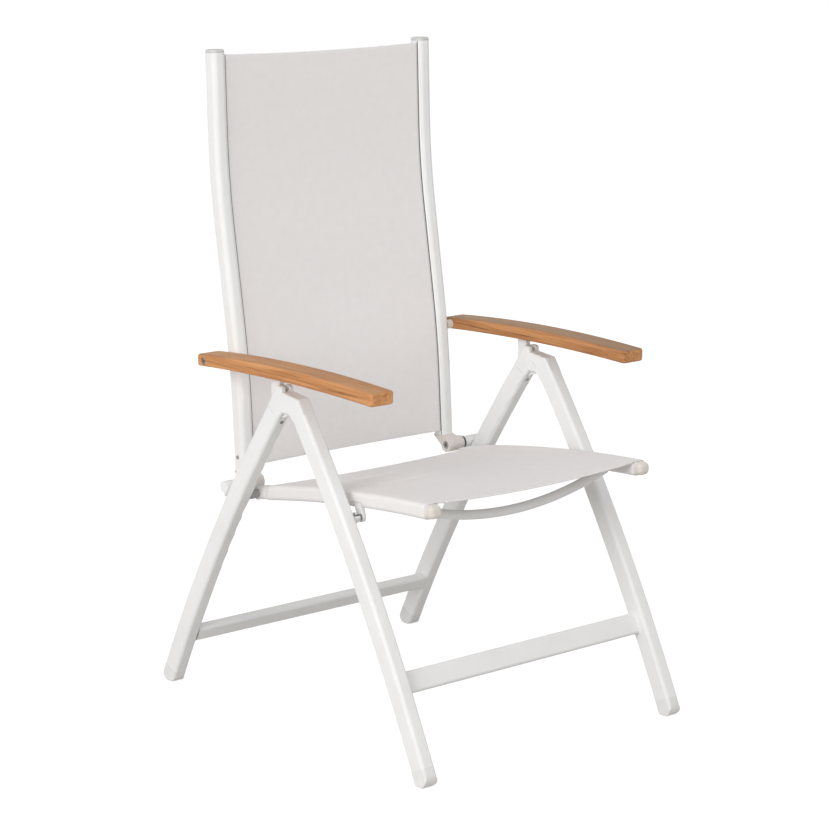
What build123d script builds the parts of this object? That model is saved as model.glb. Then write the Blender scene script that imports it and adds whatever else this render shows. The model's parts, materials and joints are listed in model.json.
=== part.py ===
"""Folding, reclining garden armchair: aluminium tube frame, sling fabric and teak armrests.

Millimetres. The chair faces -Y, +Z is up, the ground is Z = 0 and left is the sitter's left (+X).
"""
import os
from math import asin, atan2, cos, degrees, hypot, radians, sin, sqrt, tan

from build123d import *

os.makedirs("parts", exist_ok=True)

# Clearances
RUN = 0.05
FIT = 0.15
SIDE_GAP = 0.25
SEAM = 0.5

# Legs: four alike tubes, gently bowed, hinged in pairs under the armrests
LEG_X = 270.0
LEG_W = 26.0
LEG_D = 34.0
LEG_CORNER = 6.0
TUBE_WALL = 2.0
LEG_BOW = 3380.0
LEG_LEAN = radians(35.8)
LEG_TOP_Y = 22.0
LEG_TOP_Z = 552.0
LEG_START = 20.0
FOOT_FLAT = 1.5
FOOT_LENGTH = 12.0
SPIGOT = 38.0

# Leg hinge: forked head on the front leg, tongue with a post on the rear leg
HINGE_Z = 550.0
HINGE_PIN_R = 5.0
TONGUE = 9.0
TONGUE_R = 16.0
HEAD_SHOULDER = -6.0
CROWN_RISE = 21.2
TOWER_Y = (8.5, 23.5)
TOWER_RISE = 9.8
TOWER_ROUND = 5.0
WEB_END_Y = 19.0
WEB_ROUND = 2.0
HEAD_ROUND = 4.0
FORK_GAP = 1.2
NOTCH_Y = 9.0
NOTCH_Z = 537.0
POST_Y = 35.2
POST_W = 22.0
POST_GAP = 3.4
POST_CHAMFER = 2.5
NIB_R = 4.0
NIB_RISE = 8.0
PIN_HEAD = 2.0

# Stretchers, flush with the inner side of each leg pair
STRETCHER_D = 18.0
STRETCHER_CORNER = 5.0
STRETCHERS = (("front", -1, 475.5, 36.0), ("rear", 1, 531.5, 28.0))

# Back hinge on the rear legs
BACK_HINGE_Y = 168.5
BACK_HINGE_Z = 383.0
BOSS_R = 10.2
AXLE_R = 5.0
AXLE_HEAD_R = 7.0
AXLE_HEAD = 6.0
AXLE_KEY_R = 4.0
HUB_R = 13.0
HUB_INNER_X = 207.0
HUB_OUTER_X = 241.0
WASHER_R = 11.6
WASHER = 5.0
SADDLE_EDGE = 3.0

# Back tubes, S-curved in side view
BACK_X = 222.0
BACK_W = 26.0
BACK_D = 29.0
BACK_CORNER = 9.0
BACK_FOOT_Y = 192.1
BACK_Z = (398.0, 575.0, 885.0, 1094.0)
BACK_LEAN = (radians(4.0), radians(9.75), radians(2.3))
BACK_BENDS = (1500.0, 1200.0)
BACK_CAP = 6.0
BACK_CAP_ROUND = 3.6
BRACKET_W = 24.0
GROOVE_FORWARD = 8.5
GROOVE_DEPTH = 4.6
GROOVE_R = 3.0
GROOVE_WALL = 1.4
GROOVE_SLOT = 2.2
KEDER_R = 2.7
SLING = 1.2
BACK_SAG = 6.0
BACK_SLING_Z = (407.0, 1090.0)
BAR_R = 8.0
BACK_BAR_Z = (480.0, 1010.0)
BACK_BAR_BOW = 30.0
BACK_BAR_BEHIND = 3.0

# Seat
SEAT_PIVOT_Y = 134.0
SEAT_PIVOT_Z = 372.0
SEAT_PIN_R = 4.0
SPACER_R = 7.5
RAIL_X = 226.5
RAIL_W = 25.0
RAIL_D = 22.0
RAIL_CORNER = 6.0
RAIL_BOW = 2820.0
SEAT_TIP_Y = -313.0
SEAT_TIP_Z = 428.4
RAIL_START = 16.0
SEAT_CAP = 14.0
SEAT_CAP_CORNER = 9.0
SEAT_CAP_ROUND = 8.0
SEAT_SLING_START = 37.0
SEAT_SLING_STOP = 1.5
BAR_WINDOW = 2.0
SEAT_SAG = 10.0
SLEEVE_EASE = 0.35
SEAT_BAR_Y = -231.5
SEAT_BAR_MID_Z = 379.5
SEAT_BAR_END_Z = 416.0
REST_Y = -140.0
REST_Z = 388.5
REST_PIN_R = 5.0
REST_OPEN = (-0.34, 0.94)
REST_WALL = 3.2
REST_LONG = 11.0
LUG_X = 236.5
LUG = 5.0
LUG_R = 8.8
LUG_SWEEP = 8.0
LUG_WINDOW = 6.0

# Armrests
ARM_INNER = 248.0
ARM_W = 47.0
ARM_REAR_Y = 226.0
ARM_FRONT_Y = -235.0
ARM_BOTTOM_Z = (582.5, 592.4, 589.7)
ARM_TOP_Z = (602.5, 615.2, 611.0)
ARM_ROUND = 4.0
ARM_CORNER = 7.0
ARM_PIVOT_Y = 206.0
ARM_PIVOT_Z = 593.0
ARM_BOLT_R = 4.0
ARM_BOLT_HEAD_R = 6.0
ARM_BOLT_HEAD = 5.0
ARM_BOLT_RECESS = 1.5
BUSH_R = 8.0
RECLINE = 30.0
RECLINE_STEPS = 5
ARM_SHARE = 0.32
RACK = 4.0
RACK_NOTCH_R = 4.6
RACK_SCREW_R = 1.6
RACK_REAR = 9.0
RACK_FRONT = 12.0
RACK_SCREW_IN = 5.0
SCREW_R = 3.2
SCREW_HEAD = 1.2
SCREW_SHANK_R = 1.5
SCREW_SHANK = 8.0
HEAD_SCREW_S = 30.0
BACK_SCREW_Z = 422.0

SIDES = (("left", 1), ("right", -1))
ENDS = (("front", -1), ("rear", 1))
LEG_INNER = LEG_X - LEG_W / 2
LEG_OUTER = LEG_X + LEG_W / 2
FORK_INNER = LEG_X - TONGUE / 2 - SIDE_GAP
FORK_OUTER = LEG_X + TONGUE / 2 + SIDE_GAP
RAIL_OUTER = RAIL_X + RAIL_W / 2
BACK_OUTER = BACK_X + BACK_W / 2
ARM_OUTER = ARM_INNER + ARM_W
BOSS_INNER = HUB_OUTER_X + WASHER + 2 * SIDE_GAP
CROWN_Z = HINGE_Z + CROWN_RISE
TOWER_Z = CROWN_Z + TOWER_RISE
POST_TOP_Z = ARM_BOTTOM_Z[1] - POST_GAP
NIB_Z = POST_TOP_Z + NIB_RISE


def save(piece, name):
    """Name a finished piece and write its file."""
    piece.part.label = name
    export_step(piece.part, f"parts/{name}.step")


def leg_lean(s):
    """Angle of a leg from the vertical at arc length s below its top."""
    return LEG_LEAN - s / LEG_BOW


def leg_at(end, s, out=0.0):
    """Side-view point of a leg at arc length s, moved out by a distance square to the leg."""
    lean = leg_lean(s)
    y = LEG_TOP_Y + LEG_BOW * (cos(lean) - cos(LEG_LEAN))
    z = LEG_TOP_Z - LEG_BOW * (sin(LEG_LEAN) - sin(lean))
    return (end * (y + out * cos(lean)), z + out * sin(lean))


def leg_s(z):
    """Arc length at which the centreline of a leg is at height z."""
    return (LEG_LEAN - asin(sin(LEG_LEAN) - (LEG_TOP_Z - z) / LEG_BOW)) * LEG_BOW


def leg_plane(end, s, x):
    """Plane square to a leg, looking down along it."""
    y, z = leg_at(end, s)
    return Plane(origin=(x, y, z), x_dir=(1, 0, 0), z_dir=(0, end * sin(leg_lean(s)), -cos(leg_lean(s))))


def leg_axis(end):
    """Axis of the bow of a leg, turning down along the leg."""
    y = end * (LEG_TOP_Y - LEG_BOW * cos(LEG_LEAN))
    return Axis((0, y, LEG_TOP_Z - LEG_BOW * sin(LEG_LEAN)), (-end, 0, 0))


def leg_arc(s0, s1):
    """Turn of the bow between two arc lengths, in degrees."""
    return degrees((s1 - s0) / LEG_BOW)


def head_screw_plane(sx, face):
    """Plane on the rear (1) or front (-1) face of a rear leg, at the screw that holds its head."""
    y, z = leg_at(1, HEAD_SCREW_S, face * (LEG_D / 2 + RUN))
    lean = leg_lean(HEAD_SCREW_S)
    return Plane(origin=(sx * LEG_X, y, z), x_dir=(1, 0, 0), z_dir=(0, face * cos(lean), face * sin(lean)))


def side_plane(x):
    """Side-view plane whose own axes are Y and Z."""
    return Plane(origin=(x, 0, 0), x_dir=(0, 1, 0), z_dir=(1, 0, 0))


def tube_section(width, depth, corner):
    """Hollow rounded section, drawn in the open sketch."""
    RectangleRounded(width, depth, corner)
    RectangleRounded(width - 2 * TUBE_WALL, depth - 2 * TUBE_WALL, corner - TUBE_WALL, mode=Mode.SUBTRACT)


rail_run = hypot(SEAT_PIVOT_Y - SEAT_TIP_Y, SEAT_TIP_Z - SEAT_PIVOT_Z)
rail_half = asin(rail_run / 2 / RAIL_BOW)
RAIL_RISE = atan2(SEAT_TIP_Z - SEAT_PIVOT_Z, SEAT_PIVOT_Y - SEAT_TIP_Y) + rail_half
RAIL_LENGTH = 2 * rail_half * RAIL_BOW


def rail_at(s, up=0.0):
    """Side-view point of a seat rail at arc length s in front of its pivot, raised square to the rail."""
    rise = RAIL_RISE - s / RAIL_BOW
    y = SEAT_PIVOT_Y - RAIL_BOW * (sin(RAIL_RISE) - sin(rise))
    z = SEAT_PIVOT_Z + RAIL_BOW * (cos(rise) - cos(RAIL_RISE))
    return (y + up * sin(rise), z + up * cos(rise))


def rail_plane(s, x):
    """Plane square to a seat rail, looking forward along it, with its own Y axis up."""
    y, z = rail_at(s)
    rise = RAIL_RISE - s / RAIL_BOW
    return Plane(origin=(x, y, z), x_dir=(1, 0, 0), z_dir=(0, -cos(rise), sin(rise)))


def rail_s(y):
    """Arc length at which the centreline of a seat rail is at depth y."""
    return (RAIL_RISE - asin(sin(RAIL_RISE) - (SEAT_PIVOT_Y - y) / RAIL_BOW)) * RAIL_BOW


def rail_arc(s0, s1):
    """Turn of the seat rail's bow between two arc lengths, in degrees."""
    return degrees((s1 - s0) / RAIL_BOW)


rail_axis = Axis(
    (0, SEAT_PIVOT_Y - RAIL_BOW * sin(RAIL_RISE), SEAT_PIVOT_Z - RAIL_BOW * cos(RAIL_RISE)), (1, 0, 0)
)

# Side-view corners of the back tubes
back_points = [(BACK_FOOT_Y, BACK_Z[0])]
for lean, low, high in zip(BACK_LEAN, BACK_Z[:-1], BACK_Z[1:]):
    back_points.append((back_points[-1][0] + (high - low) * tan(lean), high))


def back_plane(x):
    """Plane square to a back tube at its foot, looking up along it, with its own Y axis to the front."""
    return Plane(
        origin=(x, BACK_FOOT_Y, BACK_Z[0]), x_dir=(-1, 0, 0), z_dir=(0, sin(BACK_LEAN[0]), cos(BACK_LEAN[0]))
    )


def back_y(z):
    """Depth of the straight runs of the back tubes' centreline at height z."""
    for (y0, z0), (y1, z1) in zip(back_points[:-1], back_points[1:]):
        if z <= z1:
            break
    return y0 + (z - z0) * (y1 - y0) / (z1 - z0)


# Legs
foot_s = leg_s(LEG_D / 2 - FOOT_FLAT)
leg_end = foot_s - FOOT_LENGTH
seat_hole = (SEAT_PIVOT_Y, SEAT_PIVOT_Z)

for side, sx in SIDES:
    for end, ey in ENDS:
        with BuildPart() as leg:
            with BuildSketch(leg_plane(ey, LEG_START, sx * LEG_X)):
                tube_section(LEG_W, LEG_D, LEG_CORNER)
            revolve(axis=leg_axis(ey), revolution_arc=leg_arc(LEG_START, leg_end))
            if end == "rear":
                with BuildSketch(side_plane(sx * LEG_INNER)):
                    with Locations(seat_hole):
                        Circle(SEAT_PIN_R + RUN)
                extrude(amount=sx * 2 * TUBE_WALL, mode=Mode.SUBTRACT)
                for face in (-1, 1):
                    with BuildSketch(head_screw_plane(sx, face)):
                        Circle(SCREW_SHANK_R + RUN)
                    extrude(amount=-2 * TUBE_WALL, mode=Mode.SUBTRACT)
        save(leg, f"{side}_{end}_leg")

        # End cap: a round toe, flat on the ground, with a plug inside the tube
        with BuildPart() as foot:
            with BuildSketch(leg_plane(ey, leg_end, sx * LEG_X)):
                RectangleRounded(LEG_W, LEG_D, LEG_CORNER)
            revolve(axis=leg_axis(ey), revolution_arc=leg_arc(leg_end, foot_s + LEG_D / 2))
            with BuildSketch(side_plane(sx * LEG_X - LEG_W)):
                with Locations(leg_at(ey, foot_s)):
                    Circle(LEG_D / 2)
                with BuildLine():
                    Polyline(
                        leg_at(ey, foot_s, LEG_D / 2),
                        leg_at(ey, leg_end - 1, LEG_D / 2 + 1),
                        leg_at(ey, leg_end - 1, -LEG_D / 2 - 1),
                        leg_at(ey, foot_s, -LEG_D / 2),
                        close=True,
                    )
                make_face()
                with Locations((ey * leg_at(1, foot_s)[0], -LEG_D)):
                    Rectangle(4 * LEG_D, 2 * LEG_D, mode=Mode.SUBTRACT)
            extrude(amount=2 * LEG_W, mode=Mode.INTERSECT)
            with BuildSketch(leg_plane(ey, leg_end - SPIGOT / 2, sx * LEG_X)):
                plug = 2 * (TUBE_WALL + FIT)
                RectangleRounded(LEG_W - plug, LEG_D - plug, LEG_CORNER - TUBE_WALL)
            revolve(axis=leg_axis(ey), revolution_arc=leg_arc(0, SPIGOT / 2))
        save(foot, f"{side}_{end}_foot")

# Stretchers
for end, ey, s, height in STRETCHERS:
    y, z = leg_at(ey, s, (STRETCHER_D - LEG_D) / 2)
    lean = leg_lean(s)
    with BuildPart() as stretcher:
        end_plane = Plane(origin=(-LEG_INNER, y, z), x_dir=(0, ey * sin(lean), -cos(lean)), z_dir=(1, 0, 0))
        with BuildSketch(end_plane):
            tube_section(height, STRETCHER_D, STRETCHER_CORNER)
        extrude(amount=2 * LEG_INNER)
    save(stretcher, f"{end}_stretcher")

# Heads of the leg hinges. The fork and the tongue share one outline at rest.
half = LEG_D / 2
fork_outline = [
    leg_at(-1, LEG_START, half),
    leg_at(-1, HEAD_SHOULDER, half),
    (TOWER_Y[0], CROWN_Z),
    (TOWER_Y[0], TOWER_Z),
    (TOWER_Y[1], TOWER_Z),
    leg_at(1, HEAD_SHOULDER, half),
    leg_at(1, LEG_START - SEAM, half),
    leg_at(1, LEG_START - SEAM, -half),
    (NOTCH_Y, NOTCH_Z),
    (-NOTCH_Y, NOTCH_Z),
    leg_at(-1, LEG_START, -half),
]
tongue_outline = [
    leg_at(1, LEG_START, half),
    leg_at(1, HEAD_SHOULDER, half),
    (0, HINGE_Z + TONGUE_R),
    (0, HINGE_Z - TONGUE_R),
    leg_at(1, LEG_START, -half),
]
web_z = leg_at(1, HEAD_SHOULDER, half)[1] + FORK_GAP
web_outline = [
    leg_at(-1, LEG_START, half),
    leg_at(-1, HEAD_SHOULDER, half),
    (TOWER_Y[0], CROWN_Z),
    (WEB_END_Y, CROWN_Z),
    (WEB_END_Y, web_z),
    (0, web_z),
    leg_at(-1, LEG_START, 0),
]
post_sides = (POST_Y - POST_W / 2, POST_Y + POST_W / 2)

for side, sx in SIDES:
    with BuildPart() as fork:
        for x0, x1 in ((LEG_INNER, FORK_INNER), (FORK_OUTER, LEG_OUTER)):
            with BuildSketch(side_plane(sx * x0)):
                with BuildLine():
                    Polyline(fork_outline, close=True)
                make_face()
                fillet(vertices().sort_by(Axis.Y)[-2:], TOWER_ROUND)
            extrude(amount=sx * (x1 - x0))
        with BuildSketch(side_plane(sx * FORK_INNER)):
            with BuildLine():
                Polyline(web_outline, close=True)
            make_face()
            fillet(vertices().group_by(Axis.Y)[-1].sort_by(Axis.X)[-1:], WEB_ROUND)
            with Locations((0, HINGE_Z)):
                Circle(TONGUE_R + FORK_GAP, mode=Mode.SUBTRACT)
        extrude(amount=sx * (FORK_OUTER - FORK_INNER))
        with BuildSketch(side_plane(sx * LEG_INNER)):
            with Locations((0, HINGE_Z)):
                Circle(HINGE_PIN_R + RUN)
        extrude(amount=sx * (LEG_W - TUBE_WALL), mode=Mode.SUBTRACT)
        with BuildSketch(leg_plane(-1, LEG_START, sx * LEG_X)):
            plug = 2 * (TUBE_WALL + FIT)
            RectangleRounded(LEG_W - plug, LEG_D - plug, LEG_CORNER - TUBE_WALL)
        revolve(axis=leg_axis(-1), revolution_arc=leg_arc(0, SPIGOT))
        cheeks = fork.faces().filter_by(Axis.X).sort_by(Axis.X)
        rims = cheeks[0].outer_wire().edges() + cheeks[-1].outer_wire().edges()
        fillet([rim for rim in rims if abs(rim.length - LEG_D) > SEAM], HEAD_ROUND)
    save(fork, f"{side}_front_head")

    with BuildPart() as tongue:
        with BuildSketch(side_plane(sx * (LEG_X - TONGUE / 2))):
            with BuildLine():
                Polyline(tongue_outline, close=True)
            make_face()
            with Locations((0, HINGE_Z)):
                Circle(TONGUE_R)
            with BuildLine():
                Polyline(
                    (post_sides[0], HINGE_Z),
                    (post_sides[1], HINGE_Z),
                    (post_sides[1], POST_TOP_Z - POST_CHAMFER),
                    (post_sides[1] - POST_CHAMFER, POST_TOP_Z),
                    (post_sides[0] + POST_CHAMFER, POST_TOP_Z),
                    (post_sides[0], POST_TOP_Z - POST_CHAMFER),
                    close=True,
                )
            make_face()
            with Locations((POST_Y, (NIB_Z + POST_TOP_Z) / 2 - 1)):
                Rectangle(2 * NIB_R, NIB_Z - POST_TOP_Z + 2)
            with Locations((POST_Y, NIB_Z)):
                Circle(NIB_R)
            with Locations((0, HINGE_Z)):
                Circle(HINGE_PIN_R + RUN, mode=Mode.SUBTRACT)
        extrude(amount=sx * TONGUE)
        with BuildSketch(leg_plane(1, LEG_START, sx * LEG_X)):
            RectangleRounded(LEG_W - plug, LEG_D - plug, LEG_CORNER - TUBE_WALL)
        revolve(axis=leg_axis(1), revolution_arc=leg_arc(0, SPIGOT))
        for face in (-1, 1):
            with BuildSketch(head_screw_plane(sx, face)):
                Circle(SCREW_SHANK_R + RUN)
            extrude(amount=-SCREW_SHANK - 1, mode=Mode.SUBTRACT)
    save(tongue, f"{side}_rear_head")

with BuildPart() as head_screws:
    for side, sx in SIDES:
        for face in (-1, 1):
            with BuildSketch(head_screw_plane(sx, face)):
                Circle(SCREW_R)
            extrude(amount=SCREW_HEAD)
            with BuildSketch(head_screw_plane(sx, face)):
                Circle(SCREW_SHANK_R)
            extrude(amount=-SCREW_SHANK)
save(head_screws, "head_screws")

with BuildPart() as hinge_pins:
    for side, sx in SIDES:
        with BuildSketch(side_plane(sx * (LEG_INNER - SIDE_GAP))):
            with Locations((0, HINGE_Z)):
                Circle(HINGE_PIN_R)
        extrude(amount=sx * (LEG_OUTER - TUBE_WALL - LEG_INNER))
        with BuildSketch(side_plane(sx * (LEG_INNER - SIDE_GAP))):
            with Locations((0, HINGE_Z)):
                Circle(HINGE_PIN_R + PIN_HEAD)
        extrude(amount=-sx * SCREW_HEAD)
save(hinge_pins, "leg_hinge_pins")

# Back hinge: boss behind each rear leg, axle bolt and washer
hinge_at = (BACK_HINGE_Y, BACK_HINGE_Z)
saddle_s = leg_s(BACK_HINGE_Z - (BOSS_R + LEG_D / 2) * sin(leg_lean(leg_s(BACK_HINGE_Z))))
for side, sx in SIDES:
    with BuildPart() as boss:
        with BuildSketch(side_plane(sx * LEG_INNER)):
            with Locations(hinge_at):
                Circle(BOSS_R)
            with BuildLine():
                Polyline(
                    leg_at(1, saddle_s - BOSS_R - SADDLE_EDGE, LEG_D / 2 - SADDLE_EDGE),
                    leg_at(1, saddle_s - BOSS_R, LEG_D / 2 + BOSS_R / 2),
                    leg_at(1, saddle_s + BOSS_R, LEG_D / 2 + BOSS_R / 2),
                    leg_at(1, saddle_s + BOSS_R + SADDLE_EDGE, LEG_D / 2 - SADDLE_EDGE),
                    close=True,
                )
            make_face()
        extrude(amount=sx * LEG_W)
        with BuildSketch(leg_plane(1, saddle_s - 4 * BOSS_R, sx * LEG_X)):
            Rectangle(2 * LEG_W, LEG_D + 2 * RUN)
        revolve(axis=leg_axis(1), revolution_arc=leg_arc(0, 8 * BOSS_R), mode=Mode.SUBTRACT)
        with BuildSketch(side_plane(sx * BOSS_INNER)):
            with Locations(hinge_at):
                Circle(BOSS_R)
        extrude(amount=sx * (LEG_INNER - BOSS_INNER))
        with BuildSketch(side_plane(sx * BOSS_INNER)):
            with Locations(hinge_at):
                Circle(AXLE_R + RUN)
        extrude(amount=sx * (LEG_OUTER - 2 * TUBE_WALL - BOSS_INNER), mode=Mode.SUBTRACT)
    save(boss, f"{side}_hinge_boss")

    with BuildPart() as axle:
        with BuildSketch(side_plane(sx * HUB_INNER_X)):
            with Locations(hinge_at):
                Circle(AXLE_HEAD_R)
                RegularPolygon(AXLE_KEY_R, 6, mode=Mode.SUBTRACT)
        extrude(amount=sx * AXLE_HEAD)
        with BuildSketch(side_plane(sx * (HUB_INNER_X + AXLE_HEAD / 2))):
            with Locations(hinge_at):
                Circle(AXLE_R)
        extrude(amount=sx * (LEG_OUTER - 2 * TUBE_WALL - SIDE_GAP - HUB_INNER_X - AXLE_HEAD / 2))
    save(axle, f"{side}_back_axle")

    with BuildPart() as washer:
        with BuildSketch(side_plane(sx * (HUB_OUTER_X + SIDE_GAP))):
            with Locations(hinge_at):
                Circle(WASHER_R)
                Circle(AXLE_R + RUN, mode=Mode.SUBTRACT)
        extrude(amount=sx * WASHER)
    save(washer, f"{side}_hub_washer")

# Back: tubes with a groove for the sling, brackets, caps and spreader bars
groove_x = BACK_W / 2 - GROOVE_DEPTH
arm_at = (ARM_PIVOT_Y, ARM_PIVOT_Z)
back_screw_at = (back_y(BACK_SCREW_Z), BACK_SCREW_Z)
cap_y, cap_z = back_points[-1]
cap_lean = BACK_LEAN[-1]
foot_lean = BACK_LEAN[0]
for side, sx in SIDES:
    with BuildPart() as tube:
        with BuildLine(side_plane(sx * BACK_X)) as back_path:
            FilletPolyline(*back_points, radius=BACK_BENDS)
        with BuildSketch(back_plane(sx * BACK_X)):
            tube_section(BACK_W, BACK_D, BACK_CORNER)
            with Locations((sx * groove_x, GROOVE_FORWARD)):
                Circle(GROOVE_R + GROOVE_WALL)
                Circle(GROOVE_R, mode=Mode.SUBTRACT)
            with Locations((sx * (groove_x + GROOVE_DEPTH), GROOVE_FORWARD)):
                Rectangle(2 * GROOVE_DEPTH, GROOVE_SLOT, mode=Mode.SUBTRACT)
        sweep(path=back_path.wires()[0])
        with BuildSketch(side_plane(sx * BACK_OUTER)):
            with Locations(arm_at):
                Circle(ARM_BOLT_R + RUN)
        extrude(amount=-sx * 2 * TUBE_WALL, mode=Mode.SUBTRACT)
        with BuildSketch(side_plane(sx * BACK_OUTER)):
            with Locations(back_screw_at):
                Circle(SCREW_SHANK_R + RUN)
        extrude(amount=-sx * 2 * TUBE_WALL, mode=Mode.SUBTRACT)
    save(tube, f"{side}_back_tube")

    with BuildPart() as keder:
        with BuildLine(side_plane(sx * BACK_X)) as keder_path:
            FilletPolyline(*back_points, radius=BACK_BENDS)
        with BuildSketch(back_plane(sx * BACK_X)):
            with Locations((sx * groove_x, GROOVE_FORWARD)):
                Circle(KEDER_R)
        sweep(path=keder_path.wires()[0])
    save(keder, f"{side}_back_keder")

    with BuildPart() as cap:
        cap_plane = Plane(
            origin=(sx * BACK_X, cap_y, cap_z), x_dir=(-1, 0, 0), z_dir=(0, sin(cap_lean), cos(cap_lean))
        )
        with BuildSketch(cap_plane):
            RectangleRounded(BACK_W, BACK_D, BACK_CORNER)
        extrude(amount=BACK_CAP)
        fillet(cap.faces().sort_by(Axis.Z)[-1].edges(), BACK_CAP_ROUND)
        with BuildSketch(cap_plane):
            with Locations((-sx * BACK_W / 5, 0)):
                RectangleRounded(BACK_W / 2 - 2 * TUBE_WALL, BACK_D - 4 * TUBE_WALL, TUBE_WALL)
        extrude(amount=-SPIGOT / 2)
    save(cap, f"{side}_back_cap")

    # Bracket: hub on the axle, a web up to the tube and a spigot inside it
    with BuildPart() as bracket:
        with BuildSketch(side_plane(sx * HUB_INNER_X)):
            with Locations(hinge_at):
                Circle(HUB_R)
        extrude(amount=sx * (HUB_OUTER_X - HUB_INNER_X))
        with BuildSketch(side_plane(sx * (BACK_X - BRACKET_W / 2))):
            with Locations(hinge_at):
                Circle(HUB_R)
            with Locations(
                Location((BACK_FOOT_Y - sin(foot_lean), BACK_Z[0] - cos(foot_lean)), -degrees(foot_lean))
            ):
                Rectangle(BACK_D - 2, 2)
            make_hull(edges())
        extrude(amount=sx * BRACKET_W)
        with BuildSketch(back_plane(sx * BACK_X)):
            with Locations((-sx * BACK_W / 5, 0)):
                RectangleRounded(BACK_W / 2 - 2 * TUBE_WALL, BACK_D - 4 * TUBE_WALL, TUBE_WALL)
        extrude(amount=SPIGOT)
        with BuildSketch(side_plane(sx * HUB_INNER_X)):
            with Locations(hinge_at):
                Circle(AXLE_R + RUN)
        extrude(amount=sx * (HUB_OUTER_X - HUB_INNER_X), mode=Mode.SUBTRACT)
        with BuildSketch(side_plane(sx * HUB_INNER_X)):
            with Locations(hinge_at):
                Circle(AXLE_HEAD_R + SIDE_GAP)
        extrude(amount=sx * (AXLE_HEAD + SIDE_GAP), mode=Mode.SUBTRACT)
        with BuildSketch(side_plane(sx * BACK_OUTER)):
            with Locations(back_screw_at):
                Circle(SCREW_SHANK_R + RUN)
        extrude(amount=-sx * (SCREW_SHANK + 1), mode=Mode.SUBTRACT)
    save(bracket, f"{side}_back_bracket")

with BuildPart() as back_screws:
    for side, sx in SIDES:
        with BuildSketch(side_plane(sx * BACK_OUTER)):
            with Locations(back_screw_at):
                Circle(SCREW_R)
        extrude(amount=sx * SCREW_HEAD)
        with BuildSketch(side_plane(sx * BACK_OUTER)):
            with Locations(back_screw_at):
                Circle(SCREW_SHANK_R)
        extrude(amount=-sx * SCREW_SHANK)
save(back_screws, "back_screws")

with BuildPart() as back_sling:
    with BuildLine(side_plane(0)) as sling_path:
        FilletPolyline(*back_points, radius=BACK_BENDS)
    with BuildSketch(back_plane(0)):
        edge_x = BACK_X - groove_x - KEDER_R - RUN
        front = GROOVE_FORWARD + SLING / 2
        rear = GROOVE_FORWARD - SLING / 2
        with BuildLine():
            ThreePointArc((-edge_x, front), (0, front - BACK_SAG), (edge_x, front))
            Line((edge_x, front), (edge_x, rear))
            ThreePointArc((edge_x, rear), (0, rear - BACK_SAG), (-edge_x, rear))
            Line((-edge_x, rear), (-edge_x, front))
        make_face()
    sweep(path=sling_path.wires()[0])
    with Locations((0, BACK_HINGE_Y, sum(BACK_SLING_Z) / 2)):
        Box(4 * BACK_X, 4 * BACK_X, BACK_SLING_Z[1] - BACK_SLING_Z[0], mode=Mode.INTERSECT)
save(back_sling, "back_sling")


def bow_at(half_span, bow, x):
    """Distance of a circular bow from the line through its ends, at a distance x from its middle."""
    radius = (half_span**2 + bow**2) / (2 * bow)
    return bow - radius + sqrt(radius**2 - x**2)


bar_half = BACK_X - BACK_W / 2
bar_end = bar_half + BAR_R / 2
for name, z in zip(("lower", "upper"), BACK_BAR_Z):
    y = back_y(z) + BACK_BAR_BEHIND
    end_y = y + bow_at(bar_half, BACK_BAR_BOW, bar_end)
    with BuildPart() as bar:
        with BuildLine(Plane.XY.offset(z)) as bar_path:
            ThreePointArc((-bar_end, end_y), (0, y + BACK_BAR_BOW), (bar_end, end_y))
        with BuildSketch(Plane(origin=bar_path.line @ 0, z_dir=bar_path.line % 0)):
            Circle(BAR_R)
            Circle(BAR_R - TUBE_WALL, mode=Mode.SUBTRACT)
        sweep(path=bar_path.line)
        with Locations((0, y, z)):
            Box(2 * bar_half, 4 * BACK_X, 4 * BAR_R, mode=Mode.INTERSECT)
    save(bar, f"{name}_back_spreader")

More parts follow.
